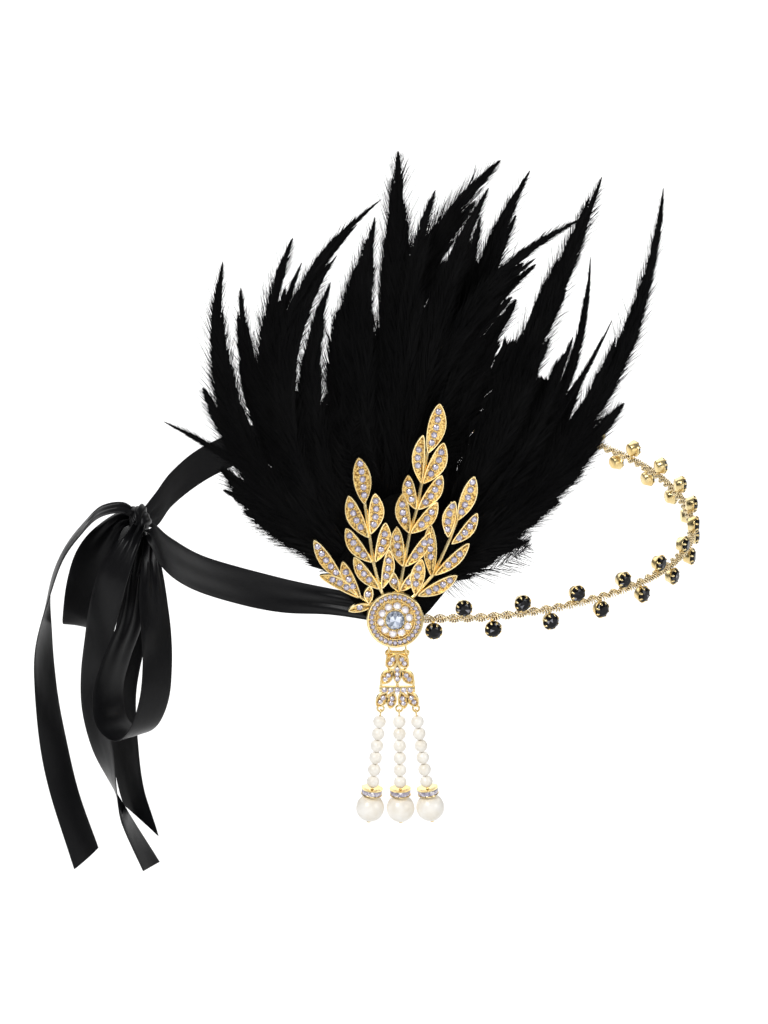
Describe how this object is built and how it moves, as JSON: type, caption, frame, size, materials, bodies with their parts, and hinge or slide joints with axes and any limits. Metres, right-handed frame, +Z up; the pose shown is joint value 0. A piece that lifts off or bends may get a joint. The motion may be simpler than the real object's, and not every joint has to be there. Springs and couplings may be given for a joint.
{
  "type": "flapper feather headband",
  "caption": "Head loop of ribbon and stone-set rope chain, with a feather plume, a leaf spray brooch, a pearl drop and a ribbon bow.",
  "frame": {"origin": "middle of the head loop, at the height of the band", "axes": "+Z up out of the head, +X to the right seen from the front, -Y out of the forehead"},
  "size_m": [0.2159, 0.2034, 0.2644],
  "materials": {
    "gold": "polished",
    "crystal": "faceted",
    "black_crystal": "faceted",
    "pearl": "pearl lustre",
    "feather": "soft sheen",
    "satin": "satin",
    "felt": "matte"
  },
  "bodies": {
    "headband": {"leaf_brooch": "gold", "centre_stone": "crystal", "felt_pad": "felt", "feather_plume": "feather", "ribbon_front_band": "satin", "ribbon_back_band": "satin", "bow_knot": "satin", "bow_loop_left": "satin", "bow_loop_right": "satin", "tail_left": "satin", "tail_middle": "satin", "tail_behind": "satin", "rhinestone_chain": "gold"},
    "drop": {"drop_plate": "gold", "hinge_ring_left": "gold", "hinge_ring_right": "gold", "strand_pin_left": "gold", "strand_pin_centre": "gold", "strand_pin_right": "gold", "pearl_left_1": "pearl", "pearl_left_2": "pearl", "pearl_left_3": "pearl", "pearl_left_4": "pearl", "pearl_left_5": "pearl", "pearl_left_6": "pearl", "pearl_centre_1": "pearl", "pearl_centre_2": "pearl", "pearl_centre_3": "pearl", "pearl_centre_4": "pearl", "pearl_centre_5": "pearl", "pearl_centre_6": "pearl", "pearl_right_1": "pearl", "pearl_right_2": "pearl", "pearl_right_3": "pearl", "pearl_right_4": "pearl", "pearl_right_5": "pearl", "pearl_right_6": "pearl", "rondelle_left": "gold", "rondelle_centre": "gold", "rondelle_right": "gold", "large_pearl_left": "pearl", "large_pearl_centre": "pearl", "large_pearl_right": "pearl"}
  },
  "joints": [
    {"name": "drop_swing", "type": "hinge", "parent": "headband", "child": "drop", "pos_m": [-0.0078, -0.09067, -0.00505], "axis": [-1, 0, 0], "range_deg": [-8, 55]}
  ]
}
